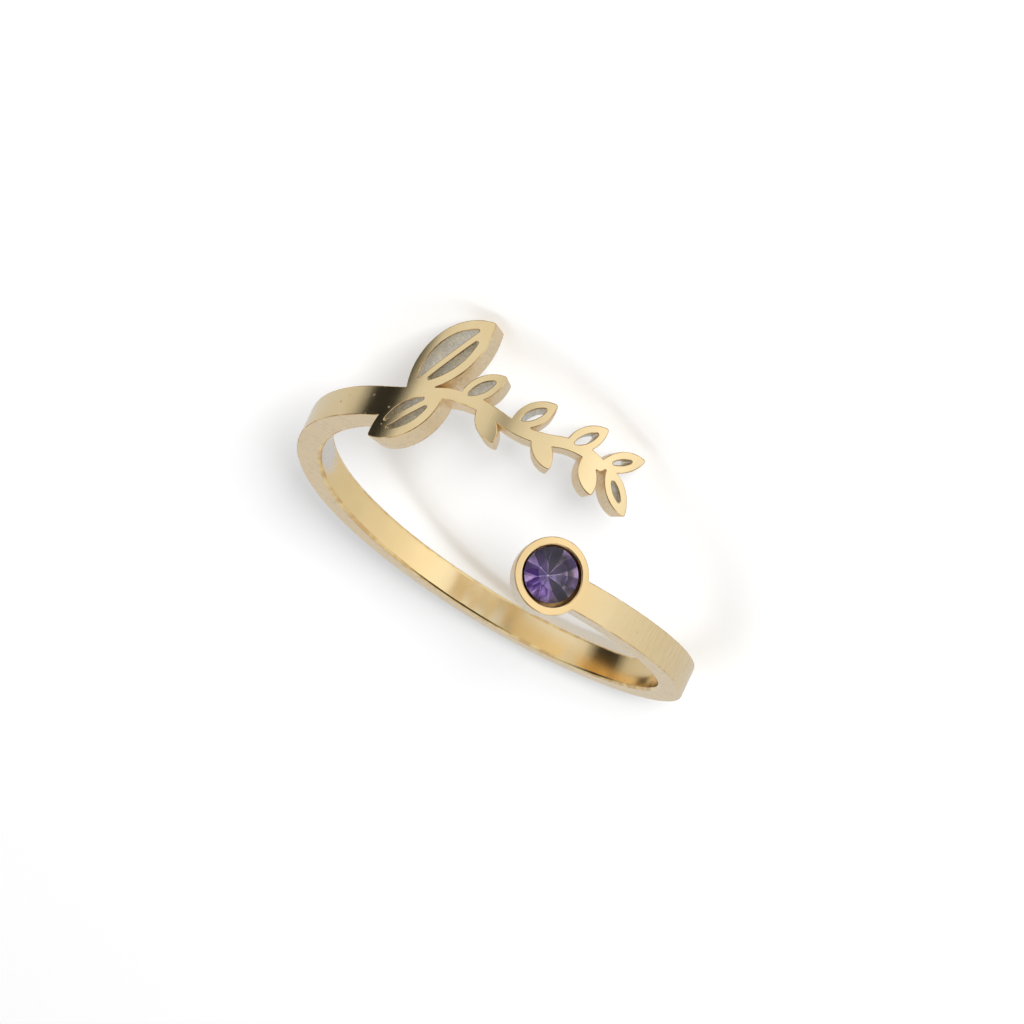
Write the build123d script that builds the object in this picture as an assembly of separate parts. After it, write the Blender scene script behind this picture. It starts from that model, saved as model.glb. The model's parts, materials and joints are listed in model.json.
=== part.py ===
"""An adjustable ring: one cut and bent steel plate with a leaf spray, and a round stone.

The metal is drawn first as a flat blank and then bent round the finger.
On the blank, x runs along the sheet and y across it.
Bent, an x of zero is the top of the finger and y runs along the finger.
The ring lies on its side and stands on the tall leaf's tip and the band's lower edge.
"""
from build123d import *
import math
import os
from collections import namedtuple

# Sheet and bend
outer_radius = 10.0
sheet_thickness = 1.18
inner_radius = outer_radius - sheet_thickness

# How finely the bent walls follow the flat outline
plane_margin = 0.2
sector_overhang = 4.0
band_sectors = 4
wall_step = 0.35
shortest_curve = 0.04
level_tolerance = 1e-6

# Wider than anything on the blank
cutter_width = 4 * outer_radius

# Band: a strip from the leaf spray, round the palm side, to the cup
band_width = 1.43
palm_angle = -180.0
spray_end_angle = -46.0
cup_angle = 16.1 - 360.0
spray_end_rise = 2.83
cup_end_rise = -1.58

# Cup and its pocket for the stone
cup_radius = 1.67
cup_rise = -1.39
pocket_radius = 1.30
pocket_depth = 1.00

# Leaf spray
spray_left = -8.1
spray_bottom = 1.2
spray_length = 12.8
spray_height = 6.35
stem_width = 0.55
leaf_rim = 0.46
small_leaf_rim = 0.34
leaf_rib = 0.33
tip_radius = 0.13
slot_corner_radius = 0.06

# Stone
stone_sides = 32
stone_table_sides = 8
stone_radius = 1.20
stone_table_radius = 0.64
stone_crown_height = 0.24
stone_girdle_height = 0.05
stone_pavilion_depth = 0.88
stone_floor_gap = 0.03
stone_shift_along = -0.068
stone_shift_across = 0.015
stone_turn = 32.0

# Rest: where along the band's lower edge the ring stands, as a share of that edge
rest_share = 0.449

# Way round the band: share of the turn from the palm, share of the rise at that end
Station = namedtuple("Station", "turn rise")
TOWARDS_SPRAY = [
    Station(0.22, 0.21),
    Station(0.45, 0.44),
    Station(0.67, 0.68),
    Station(0.90, 0.91),
    Station(1.00, 1.00),
]
TOWARDS_CUP = [
    Station(0.18, 0.31),
    Station(0.37, 0.56),
    Station(0.55, 0.74),
    Station(0.73, 0.87),
    Station(0.92, 0.96),
    Station(1.00, 1.00),
]

# Stem of the spray: shares of the spray's length and height
StemPoint = namedtuple("StemPoint", "along across")
STEM_HEADING = 16.0
STEM = [
    StemPoint(0.225, 0.413),
    StemPoint(0.305, 0.437),
    StemPoint(0.477, 0.397),
    StemPoint(0.672, 0.413),
    StemPoint(0.836, 0.405),
]

# Leaves: base and tip as shares of the spray, bulges as shares of the leaf's length
Leaf = namedtuple("Leaf", "base_x base_y tip_x tip_y left right kind")
LEAVES = [
    Leaf(0.102, 0.360, 0.312, 1.000, 0.280, 0.215, "ribbed"),
    Leaf(0.250, 0.433, 0.028, 0.000, 0.250, 0.250, "ribbed"),
    Leaf(0.301, 0.405, 0.430, 0.681, 0.228, 0.228, "slotted"),
    Leaf(0.504, 0.381, 0.625, 0.643, 0.235, 0.235, "slotted"),
    Leaf(0.699, 0.389, 0.813, 0.651, 0.235, 0.235, "slotted"),
    Leaf(0.828, 0.397, 0.977, 0.587, 0.215, 0.190, "slotted"),
    Leaf(0.380, 0.429, 0.484, 0.222, 0.240, 0.240, "plain"),
    Leaf(0.590, 0.421, 0.688, 0.214, 0.240, 0.240, "plain"),
    Leaf(0.770, 0.421, 0.852, 0.190, 0.240, 0.240, "plain"),
    Leaf(0.859, 0.429, 0.992, 0.175, 0.190, 0.210, "slotted"),
]

# Facets of the stone, which all pass through a corner of the girdle:
# how many, first angle, slope as a share of the main facets' slope
Facet = namedtuple("Facet", "side count start slope")
FACETS = [
    Facet("crown", stone_table_sides, 0.0, 1.00),
    Facet("crown", stone_table_sides, 22.5, 1.25),
    Facet("pavilion", stone_table_sides, 22.5, 1.00),
    Facet("pavilion", stone_table_sides, 0.0, 1.03),
]


# Flat blank

def spray_point(along, across):
    """A point of the blank from its shares of the leaf spray."""
    return (spray_left + along * spray_length, spray_bottom + across * spray_height)


def round_length(angle):
    """Length along the blank of an angle of the bent ring."""
    return math.radians(angle) * outer_radius


def band_line():
    """Middle of the band on the blank, from the cup to the leaf spray."""
    points = []
    for station in reversed(TOWARDS_CUP):
        angle = palm_angle + station.turn * (cup_angle - palm_angle)
        points.append((round_length(angle), station.rise * cup_end_rise))
    points.append((round_length(palm_angle), 0.0))
    for station in TOWARDS_SPRAY:
        angle = palm_angle + station.turn * (spray_end_angle - palm_angle)
        points.append((round_length(angle), station.rise * spray_end_rise))
    return points


def band_edge(side):
    """One long edge of the band: side is 1 for the spray's side and -1 for the other."""
    return Spline([(x, y + side * band_width / 2) for x, y in band_line()])


def band_face():
    upper = band_edge(1)
    lower = band_edge(-1)
    return make_face([upper, Line(upper @ 1, lower @ 1), lower, Line(lower @ 0, upper @ 0)])


def tongue_face():
    """The band's end, drawn in to the width of the stem."""
    upper = band_edge(1)
    lower = band_edge(-1)
    heading = math.radians(STEM_HEADING)
    along = Vector(math.cos(heading), math.sin(heading))
    across = Vector(-along.Y, along.X) * (stem_width / 2)
    middle = Vector(*spray_point(*STEM[0]))
    top = Spline([upper @ 1, middle + across], tangents=[upper % 1, along])
    foot = Spline([lower @ 1, middle - across], tangents=[lower % 1, along])
    return make_face([top, Line(top @ 1, foot @ 1), foot, Line(foot @ 0, top @ 0)])


def stem_face():
    """The stem: arcs that run on from each other, with round ends."""
    heading = math.radians(STEM_HEADING)
    tangent = Vector(math.cos(heading), math.sin(heading))
    points = [spray_point(*row) for row in STEM]
    arcs = []
    for start, end in zip(points, points[1:]):
        arc = TangentArc([start, end], tangent=tangent)
        tangent = arc % 1
        arcs.append(arc)
    return make_face(Wire(arcs).offset_2d(stem_width / 2, Kind.ARC, Side.BOTH).edges())


def lens_face(leaf):
    """Two arcs between the leaf's base and its tip."""
    base = Vector(*spray_point(leaf.base_x, leaf.base_y))
    tip = Vector(*spray_point(leaf.tip_x, leaf.tip_y))
    chord = tip - base
    sideways = Vector(-chord.Y, chord.X)
    middle = (base + tip) * 0.5
    left = ThreePointArc(base, middle + sideways * leaf.left, tip)
    right = ThreePointArc(tip, middle - sideways * leaf.right, base)
    return make_face([left, right])


def leaf_rib_face(leaf):
    base = Vector(*spray_point(leaf.base_x, leaf.base_y))
    tip = Vector(*spray_point(leaf.tip_x, leaf.tip_y))
    return make_face(Line(base, tip).offset_2d(leaf_rib / 2, Kind.ARC, Side.BOTH).edges())


def softened(face, radius):
    """A face with its corners rounded from the inside."""
    core = offset(face, amount=-radius, kind=Kind.INTERSECTION)
    return offset(core, amount=radius, kind=Kind.ARC)


def leaf_outline(leaf):
    return softened(lens_face(leaf), tip_radius)


def leaf_slots(leaf):
    """The pierced places of a leaf, as a list of faces."""
    if leaf.kind == "plain":
        return []
    rim = leaf_rim if leaf.kind == "ribbed" else small_leaf_rim
    opening = offset(lens_face(leaf), amount=-rim, kind=Kind.INTERSECTION)
    if leaf.kind == "ribbed":
        opening = opening - leaf_rib_face(leaf)
    return [softened(face, slot_corner_radius) for face in opening.faces()]


def blank_face():
    """The whole flat blank, pierced."""
    cup = Pos(round_length(cup_angle), cup_rise) * Circle(cup_radius)
    blank = band_face() + tongue_face() + stem_face() + cup
    for leaf in LEAVES:
        blank += leaf_outline(leaf)
    for leaf in LEAVES:
        for slot in leaf_slots(leaf):
            blank -= slot
    return blank


# Bending round the finger

def radial_plane(angle, distance, rise=0.0):
    """Plane square to the radius at an angle: its x runs along the sheet and its y across."""
    turn = math.radians(angle)
    outward = Vector(math.sin(turn), 0, math.cos(turn))
    along = Vector(math.cos(turn), 0, -math.sin(turn))
    return Plane(origin=outward * distance + Vector(0, rise, 0), x_dir=along, z_dir=outward)


def bent_sector(flat, first_angle, last_angle):
    """The part of the flat blank between two angles, bent round the ring's axis.

    Each wall of a cut stands square to the sheet, so it points at the axis.
    It is ruled between the outline seen from the axis on a plane outside the ring
    and the same outline on a plane inside it.
    """
    middle = (first_angle + last_angle) / 2
    half_turn = math.radians(last_angle - first_angle) / 2
    far = radial_plane(middle, outer_radius + plane_margin)
    near = radial_plane(middle, inner_radius * math.cos(half_turn) - plane_margin)
    window_length = round_length(last_angle - first_angle)
    window = Pos(round_length(middle), 0) * Rectangle(window_length, cutter_width)

    def seen_from_axis(point, plane):
        turn = point.X / outer_radius - math.radians(middle)
        reach = plane.origin.dot(plane.z_dir)
        return plane.from_local_coords(Vector(reach * math.tan(turn), point.Y))

    def seen_edge(edge, plane):
        level = edge.geom_type == GeomType.LINE and abs((edge % 0).X) < level_tolerance
        if level or edge.length < shortest_curve:
            return Edge.make_line(seen_from_axis(edge @ 0, plane), seen_from_axis(edge @ 1, plane))
        steps = max(2, math.ceil(edge.length / wall_step))
        return Edge.make_spline([seen_from_axis(edge @ (i / steps), plane) for i in range(steps + 1)])

    def wedge(wire):
        edges = wire.order_edges()
        outlines = [Wire([seen_edge(edge, plane) for edge in edges]) for plane in (near, far)]
        return Solid.make_loft(outlines, ruled=True)

    sheet = Cylinder(outer_radius, cutter_width) - Cylinder(inner_radius, cutter_width)
    sheet = Rot(90, 0, 0) * sheet
    pieces = []
    for face in (flat & window).faces():
        piece = wedge(face.outer_wire()) & sheet
        for opening in face.inner_wires():
            piece -= wedge(opening)
        pieces.append(piece)
    return pieces


def metal_solid():
    """Band, spray and cup: one plate, bent, with the stone's pocket sunk in the cup."""
    flat = blank_face()
    spray_first = spray_end_angle - sector_overhang
    spray_last = math.degrees((spray_left + spray_length) / outer_radius) + sector_overhang
    cup_last = cup_angle - math.degrees(cup_radius / outer_radius) - sector_overhang
    turn = (spray_first - cup_last) / band_sectors
    metal = bent_sector(flat, spray_first, spray_last)[0]
    for number in range(band_sectors):
        last = spray_first - number * turn
        for piece in bent_sector(flat, last - turn, last):
            metal = metal.fuse(piece)
    floor = radial_plane(cup_angle, outer_radius - pocket_depth, cup_rise)
    return metal - Solid.make_cylinder(pocket_radius, pocket_depth + outer_radius, floor)


def stone_solid():
    """Round cut stone with its table up, its girdle's foot at a z of zero and its point below."""
    crown_top = stone_girdle_height + stone_crown_height
    slopes = {
        "crown": math.degrees(math.atan2(stone_crown_height, stone_radius - stone_table_radius)),
        "pavilion": math.degrees(math.atan2(stone_pavilion_depth, stone_radius)),
    }
    rough = extrude(RegularPolygon(stone_radius, stone_sides), crown_top + stone_pavilion_depth)
    stone = (Pos(0, 0, -stone_pavilion_depth) * rough).solid()
    for row in FACETS:
        up = 1 if row.side == "crown" else -1
        level = stone_girdle_height if row.side == "crown" else 0.0
        slope = math.radians(row.slope * slopes[row.side])
        for number in range(row.count):
            turn = math.radians(row.start + number * 360 / row.count)
            outward = Vector(math.cos(turn), math.sin(turn))
            normal = outward * math.sin(slope) + Vector(0, 0, up * math.cos(slope))
            cut = Plane(outward * stone_radius + Vector(0, 0, level), z_dir=normal)
            stone = stone.split(cut, keep=Keep.BOTTOM)
    return stone


def stone_in_cup():
    """The stone, standing over the pocket's floor and a little off the pocket's middle."""
    floor = radial_plane(cup_angle, outer_radius - pocket_depth, cup_rise)
    seat = Pos(stone_shift_along, stone_shift_across, stone_floor_gap + stone_pavilion_depth)
    return floor.location * seat * Rot(0, 0, stone_turn) * stone_solid()


# Lying on its side

def resting_frame():
    """Plane of the surface that the ring lies on, with its z up and its y away from the spray.

    The ring stands on the tip of the tall leaf and on one place of the band's edge,
    where the surface runs along that edge.
    """
    edge = band_edge(1)
    foot = edge @ rest_share
    run = edge % rest_share
    tall = LEAVES[0]
    tip = Vector(*spray_point(tall.tip_x, tall.tip_y))
    foot_plane = radial_plane(math.degrees(foot.X / outer_radius), outer_radius, foot.Y)
    tip_plane = radial_plane(math.degrees(tip.X / outer_radius), inner_radius, tip.Y)
    edge_direction = foot_plane.x_dir * run.X + Vector(0, run.Y, 0)
    up = edge_direction.cross(tip_plane.origin - foot_plane.origin).normalized()
    if up.Y > 0:
        up = -up
    towards_spray = Vector(0, 0, 1)
    away = (up * towards_spray.dot(up) - towards_spray).normalized()
    return Plane(origin=(0, 0, 0), x_dir=away.cross(up), z_dir=up)


def lying_down(solids):
    """The solids turned to rest, over the origin and standing on a z of zero."""
    frame = resting_frame()
    turned = [frame.to_local_coords(solid) for solid in solids]
    box = Compound(turned).bounding_box()
    middle = box.center()
    return [Pos(-middle.X, -middle.Y, -box.min.Z) * solid for solid in turned]


def main():
    names = ["ring_plate", "stone"]
    solids = lying_down([metal_solid(), stone_in_cup()])
    os.makedirs("parts", exist_ok=True)
    for name, solid in zip(names, solids):
        export_step(solid, os.path.join("parts", name + ".step"))
        print(name, "volume", round(solid.volume, 3), "mm3")


main()
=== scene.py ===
"""Leaf ring: an open finger ring bent from one plate, with a pierced leaf spray and a stone.

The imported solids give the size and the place. This add-on builds what shows on them:
the plate with its rubbed edges, the cut stone in its pocket, and the stage.
Lengths inside the functions are in millimetres, and on the stage in metres. On the flat plate
x runs along the band, y across it, and depth goes from the outer face towards the finger.
"""
import json
import math
from collections import namedtuple

import bmesh
import bpy
import numpy as np
from bpy.props import FloatProperty, FloatVectorProperty, IntProperty, PointerProperty
from mathutils import Matrix, Vector
from mathutils.geometry import delaunay_2d_cdt

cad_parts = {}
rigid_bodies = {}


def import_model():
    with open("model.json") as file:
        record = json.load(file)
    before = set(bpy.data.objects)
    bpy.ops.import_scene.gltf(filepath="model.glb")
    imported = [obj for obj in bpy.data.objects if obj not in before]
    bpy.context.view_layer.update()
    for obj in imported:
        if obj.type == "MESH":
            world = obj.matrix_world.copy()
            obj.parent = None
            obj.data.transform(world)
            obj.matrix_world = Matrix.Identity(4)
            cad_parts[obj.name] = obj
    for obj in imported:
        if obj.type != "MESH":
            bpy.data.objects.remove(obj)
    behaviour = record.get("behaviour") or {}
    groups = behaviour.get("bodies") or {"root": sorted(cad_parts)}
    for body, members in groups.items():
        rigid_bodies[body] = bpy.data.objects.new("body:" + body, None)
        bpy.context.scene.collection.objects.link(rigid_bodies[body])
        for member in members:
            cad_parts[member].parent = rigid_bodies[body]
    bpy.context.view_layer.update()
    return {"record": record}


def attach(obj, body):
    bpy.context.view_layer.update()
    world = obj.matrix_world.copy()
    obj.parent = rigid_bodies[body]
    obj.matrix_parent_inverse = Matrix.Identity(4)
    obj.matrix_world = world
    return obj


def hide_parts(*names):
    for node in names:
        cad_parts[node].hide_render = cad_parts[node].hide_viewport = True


bl_info = {
    "name": "Leaf ring",
    "version": (1, 0, 0),
    "blender": (4, 5, 0),
    "location": "3D View > Sidebar > Leaf ring",
    "description": "Builds an open ring with a leaf spray and a stone on its packed solids",
    "category": "Object",
}

for leftover in list(bpy.data.objects):
    bpy.data.objects.remove(leftover, do_unlink=True)
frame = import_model()
FINGER = frame["record"]["mounts"][0]

MM = 0.001

# Distances below which places count as one
TINY = 1e-9
JOINED = 1e-7
ON_PLANE = 1e-6
SAME_POINT = 1e-4

# Distances between the points of round lines
ARC_STEP = 0.05
CORNER_STEP = 0.02
STEM_END_STEP = 0.03
RIM_STEP = 0.06
BAND_STEP = 0.12

# A corner that turns more than this has several ways into the metal, and a fan of them this step
SHARP_TURN = math.radians(24)
FAN_STEP = math.radians(18)

# Points inside the broad faces: the first row's place and the distance kept from the outline,
# as shares of their spacing
FIRST_ROW = 0.37
CLEAR_OF_LINE = 0.55

# Middle line of the band from the palm to each end: shares of the end's turn and rise
Station = namedtuple("Station", "turn rise")
TOWARDS_SPRAY = [
    Station(0.22, 0.21),
    Station(0.45, 0.44),
    Station(0.67, 0.68),
    Station(0.90, 0.91),
    Station(1.00, 1.00),
]
TOWARDS_CUP = [
    Station(0.18, 0.31),
    Station(0.37, 0.56),
    Station(0.55, 0.74),
    Station(0.73, 0.87),
    Station(0.92, 0.96),
    Station(1.00, 1.00),
]

# Joints of the stem's arcs, as shares of the spray's length and height
StemPoint = namedtuple("StemPoint", "along across")
STEM_HEADING = math.radians(16.0)
STEM = [
    StemPoint(0.225, 0.413),
    StemPoint(0.305, 0.437),
    StemPoint(0.477, 0.397),
    StemPoint(0.672, 0.413),
    StemPoint(0.836, 0.405),
]

# Leaves: both ends as shares of the spray's size, and the bulge of both sides as shares of the leaf
Leaf = namedtuple("Leaf", "base_x base_y tip_x tip_y left right kind")
LEAVES = [
    Leaf(0.102, 0.360, 0.312, 1.000, 0.280, 0.215, "ribbed"),
    Leaf(0.250, 0.433, 0.028, 0.000, 0.250, 0.250, "ribbed"),
    Leaf(0.301, 0.405, 0.430, 0.681, 0.228, 0.228, "slotted"),
    Leaf(0.504, 0.381, 0.625, 0.643, 0.235, 0.235, "slotted"),
    Leaf(0.699, 0.389, 0.813, 0.651, 0.235, 0.235, "slotted"),
    Leaf(0.828, 0.397, 0.977, 0.587, 0.215, 0.190, "slotted"),
    Leaf(0.380, 0.429, 0.484, 0.222, 0.240, 0.240, "plain"),
    Leaf(0.590, 0.421, 0.688, 0.214, 0.240, 0.240, "plain"),
    Leaf(0.770, 0.421, 0.852, 0.190, 0.240, 0.240, "plain"),
    Leaf(0.859, 0.429, 0.992, 0.175, 0.190, 0.210, "slotted"),
]

# Rows of facets: count, angle of the first in degrees, and slope as a share of that side's slope
Facet = namedtuple("Facet", "side count start slope")
LONG_BACK = Facet("pavilion", 8, 22.5, 1.00)
SHORT_BACK = Facet("pavilion", 8, 0.0, 1.03)
FACETS = [Facet("crown", 8, 0.0, 1.00), Facet("crown", 8, 22.5, 1.25), LONG_BACK, SHORT_BACK]

# Foil on the long and the short facets of the back, going round, and on its ridges. The facets'
# foils are dark, mid or bright by turns: painted reflections of dark and bright surroundings.
# Painted reflections: which dark, mid or bright foil each facet gets
LONG_FACET_PAINTED_REFLECTION = [0, 0, 0, 0, 1, 1, 0, 1]
SHORT_FACET_PAINTED_REFLECTION = [2, 2, 0, 2, 2, 2, 2, 2]
RIDGE_FOIL = 3
FOIL_TONES_AND_PAINTED_REFLECTIONS = [
    ("dull foil", (0.15, 0.09, 0.25)),
    ("fair foil", (0.52, 0.40, 0.74)),
    ("bright foil", (0.95, 0.80, 1.00)),
    ("foil on the ridges", (0.90, 0.82, 1.00)),
]

# The stone's edges below this level are blunt
BELOW_GIRDLE = -0.1

# Pale cards and dark gaps round the ring: angle round its axis in degrees, and light there
Card = namedtuple("Card", "angle light")
CARDS = [
    Card(-180, 0.69),
    Card(-152, 0.64),
    Card(-121, 0.63),
    Card(-112, 0.57),
    Card(-105, 0.28),
    Card(-101, 0.03),
    Card(-84, 0.02),
    Card(-79, 0.30),
    Card(-74, 0.72),
    Card(-62, 0.78),
    Card(-42, 0.76),
    Card(-31, 0.68),
    Card(-26, 0.42),
    Card(-22, 0.34),
    Card(-17, 0.66),
    Card(-7, 0.80),
    Card(8, 0.88),
    Card(19, 0.98),
    Card(27, 1.06),
    Card(40, 1.04),
    Card(52, 0.93),
    Card(63, 0.86),
    Card(76, 0.78),
    Card(97, 0.71),
    Card(120, 0.67),
    Card(152, 0.65),
    Card(180, 0.69),
]

# The cards' colours are shares of this light, since they stay under 1
BRIGHTEST_CARD = 1.2

# Marks along the flat plate: each comes or goes between two places
TURN_START = (-57.5, -52.5)
TURN_END = (-45.0, -42.0)
CUP_SIDE = (-58.6, -57.2)
SHOULDER_START = (-11.5, -10.5)
SHOULDER_END = (-7.5, -6.5)
# Where the cut walls at the cup turn paler: a painted reflection of white surroundings
CUP_WALL_PAINTED_REFLECTION = (-58.6, -56.0)
THIN_START = (-39.5, -36.0)
THIN_END = (-31.5, -28.0)

# A patch of the inside that is worn to the steel: its middle and its half sizes
WORN_PLACE = (-17.3, 1.55)
WORN_SIZE = (2.4, 0.9)

# Between these shares of the way to the ring's axis, the light of the ends takes over
CARDS_END = (0.55, 0.95)

# The dark gap fades out up to this many times its size
GAP_SOFTNESS = 1.25

# Stage, in metres: the floor's half side, the place and size of each lamp, and what the camera sees
FLOOR_REACH = 1.5
KEY_PLACE = (-0.16, -0.98, 0.35)
KEY_SIZE = (0.30, 0.22)
TOP_PLACE = (0.1, 0.3, 1.1)
TOP_SIZE = (0.80, 0.80)
CAMERA_REACH = (0.01, 10.0)

# Steps in the rounding of a rubbed edge, and the plate's materials by number
RUB_STEPS = 3
POLISHED, INSIDE, CUT_EDGE, PIERCING, OUTER_RUB, INNER_RUB, POCKET = range(7)


# Settings

def length(name, description, default_mm):
    return FloatProperty(
        name=name, description=description, default=default_mm * MM, unit="LENGTH", precision=5
    )


def angle(name, description, default_degrees):
    return FloatProperty(
        name=name, description=description, default=math.radians(default_degrees), unit="ROTATION"
    )


def light(name, description, default, unit="NONE"):
    return FloatProperty(name=name, description=description, default=default, min=0.0, unit=unit)


def colour(name, description, default):
    return FloatVectorProperty(
        name=name, description=description, default=default, min=0.0, max=1.0, subtype="COLOR"
    )


def share(name, description, default):
    return FloatProperty(
        name=name, description=description, default=default, min=0.0, max=1.0, subtype="FACTOR"
    )


class LeafRingPlate(bpy.types.PropertyGroup):
    """Sizes and colours of the bent plate."""

    outer_radius: length("Outer radius", "From the ring's axis to the plate's outer face", 10.0)
    sheet_thickness: length("Sheet thickness", "Thickness of the plate", 1.18)
    band_width: length("Band width", "Width of the band", 1.43)
    palm_angle: angle("Palm", "Where the band passes the palm", -180.0)
    spray_end_angle: angle("Band end at the spray", "Where the band turns into the stem", -46.0)
    cup_angle: angle("Cup angle", "Where the cup sits, right round the band", 16.1 - 360.0)
    spray_end_rise: length("Rise at the spray", "How far the band climbs to the spray", 2.83)
    cup_end_rise: length("Rise at the cup", "How far the band climbs to the cup", -1.58)
    cup_radius: length("Cup radius", "Radius of the round cup", 1.67)
    cup_rise: length("Cup place", "Place of the cup across the band", -1.39)
    pocket_radius: length("Pocket radius", "Radius of the stone's pocket", 1.30)
    pocket_depth: length("Pocket depth", "Depth of the stone's pocket", 1.00)
    spray_left: length("Spray start", "Where the leaf spray starts along the plate", -8.1)
    spray_bottom: length("Spray bottom", "Lowest place of the leaf spray across the plate", 1.2)
    spray_length: length("Spray length", "Length of the leaf spray", 12.8)
    spray_height: length("Spray height", "Height of the leaf spray", 6.35)
    stem_width: length("Stem width", "Width of the stem", 0.55)
    leaf_rim: length("Leaf rim", "Metal left round the slots of the two large leaves", 0.46)
    small_leaf_rim: length("Small leaf rim", "Metal left round the small leaves' slots", 0.34)
    leaf_rib: length("Leaf rib", "Width of the rib in the two large leaves", 0.33)
    tip_radius: length("Tip radius", "Radius of the leaves' tips", 0.13)
    slot_corner_radius: length("Slot corner", "Radius of the slots' corners", 0.06)
    outer_rub: length("Outer edge rubbing", "How far polishing rounds the outer edges", 0.05)
    inner_rub: length("Inner edge rubbing", "How far polishing rounds the inner edges", 0.15)
    rim_rub: length("Pocket rim rubbing", "How far the rim of the pocket is rounded", 0.09)
    grain: length("Mesh grain", "Distance between points on the broad faces", 0.2)
    ring_turn: angle("Turn", "Turn of the ring before it is laid down", -165.0)
    ring_tip: angle("Tip", "How far the ring is tipped on its side", 73.766)
    finger_middle: length("Finger's middle", "Place of the ring's middle along the finger", 0.6)
    gilding: colour("Gilding", "Colour of the coating", (0.98, 0.785, 0.455))
    bare_cut: colour("Bare cut", "Colour of the thin coating in the piercings", (0.76, 0.73, 0.66))
    polish: share("Polish roughness", "Roughness of the polished faces", 0.10)
    satin: share("Cut roughness", "Roughness of the cut walls", 0.34)


class LeafRingStone(bpy.types.PropertyGroup):
    """Sizes and colours of the round stone."""

    sides: IntProperty(name="Sides", description="Sides of the girdle", default=32, min=8)
    radius: length("Radius", "Radius of the girdle's corners", 1.20)
    table_radius: length("Table radius", "Radius of the table's edge", 0.64)
    crown_height: length("Crown height", "Height of the crown over the girdle", 0.24)
    girdle_height: length("Girdle height", "Height of the girdle", 0.05)
    pavilion_depth: length("Pavilion depth", "Depth of the part under the girdle", 0.88)
    floor_gap: length("Gap", "Gap under the stone's point", 0.03)
    shift_along: length("Shift along", "Stone's place along, from the pocket's middle", -0.068)
    shift_across: length("Shift across", "Stone's place across, from the pocket's middle", 0.015)
    turn: angle("Turn", "Turn of the stone in its pocket", 32.0)
    edge_wear: length("Edge wear", "Width of the blunt edges at the back of the stone", 0.011)
    glass: colour("Glass", "Colour of the glass", (0.93, 0.88, 1.0))


class LeafRingStage(bpy.types.PropertyGroup):
    """Floor, lights and camera, in metres."""

    target: FloatVectorProperty(
        name="Target",
        description="Place on the camera's line of sight",
        default=(0.00037, -0.00353, 0.0035),
        size=3,
        subtype="TRANSLATION",
        unit="LENGTH",
    )
    heading: angle("Heading", "Camera's heading from the front, towards the right", -4.894)
    elevation: angle("Elevation", "Camera's height over the floor as an angle", 27.65)
    roll: angle("Roll", "Roll of the camera round its line of sight", 137.68)
    distance: length("Distance", "Distance from the target to the camera", 228.41)
    focal_length: FloatProperty(
        name="Focal length", description="Lens, for a sensor 36 mm wide", default=186.116
    )
    paper: colour("Paper", "Colour of the floor", (0.90, 0.90, 0.90))
    surround: light("Surround", "Light of the cards round the ring", 1.0)
    ends: light("Ends", "Light beyond the cards, along the ring's axis", 0.70)
    gap_turn: angle("Gap turn", "Where the dark gap stands round the ring's axis", 5.0)
    gap_tip: angle("Gap tip", "How far the dark gap leans along the ring's axis", -30.0)
    gap_size: angle("Gap size", "Half the width of the dark gap", 27.0)
    gap_light: light("Gap light", "Light in the dark gap", 0.03)
    key: light("Key light", "Power of the low front light", 17.0, "POWER")
    fill: light("Top light", "Power of the large top light", 2.2, "POWER")


def in_mm(group):
    """The group's lengths in millimetres, and its other values as they are."""
    values = {}
    for name, prop in group.bl_rna.properties.items():
        if name in ("rna_type", "name"):
            continue
        value = getattr(group, name)
        values[name] = value / MM if prop.unit == "LENGTH" else value
    return type("Sizes", (), values)


# Drawing on the flat plate

def on_circle(centre, radius, turn):
    return centre[0] + radius * math.cos(turn), centre[1] + radius * math.sin(turn)


def arc_points(centre, radius, first, last, step=ARC_STEP):
    count = max(2, math.ceil(abs(last - first) * radius / step))
    return [on_circle(centre, radius, first + (last - first) * i / count) for i in range(count + 1)]


def leftwards(way):
    return Vector((-way.y, way.x))


def circles_meet(one, one_radius, two, two_radius):
    """The two places where two circles cross."""
    across = two - one
    gap = across.length
    reach = (one_radius**2 - two_radius**2 + gap**2) / (2 * gap)
    half = math.sqrt(max(one_radius**2 - reach**2, 0.0))
    along = across / gap
    foot = one + along * reach
    side = Vector((along.y, -along.x)) * half
    return foot + side, foot - side


def chord_of(base, tip):
    """Length, way and middle of the line from base to tip."""
    chord = Vector(tip) - Vector(base)
    return chord.length, chord.normalized(), (Vector(base) + Vector(tip)) / 2


def arc_radius(chord, bulge):
    return (chord**2 / 4 + bulge**2) / (2 * bulge)


def lens_outline(base, tip, left, right, inset, corner_radius):
    """Two arcs between base and tip, drawn in by inset, with rounded corners."""
    chord, along, middle = chord_of(base, tip)
    across = leftwards(along)
    left_radius, right_radius = arc_radius(chord, left), arc_radius(chord, right)
    left_centre = middle + across * (left - left_radius)
    right_centre = middle - across * (right - right_radius)
    left_reach = left_radius - inset - corner_radius
    right_reach = right_radius - inset - corner_radius
    ends = circles_meet(left_centre, left_reach, right_centre, right_reach)
    tip_centre, base_centre = sorted(ends, key=lambda place: -(place - middle).dot(along))

    def heading(centre, place):
        return math.atan2(place.y - centre.y, place.x - centre.x)

    points = []
    first = start = heading(left_centre, base_centre)
    for centre, radius, last, step in (
        (left_centre, left_radius - inset, heading(left_centre, tip_centre), ARC_STEP),
        (tip_centre, corner_radius, heading(right_centre, tip_centre), CORNER_STEP),
        (right_centre, right_radius - inset, heading(right_centre, base_centre), ARC_STEP),
        (base_centre, corner_radius, start, CORNER_STEP),
    ):
        while last > first + TINY:
            last -= 2 * math.pi
        points += arc_points(centre, radius, first, last, step)
        first = last
    return points


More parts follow.
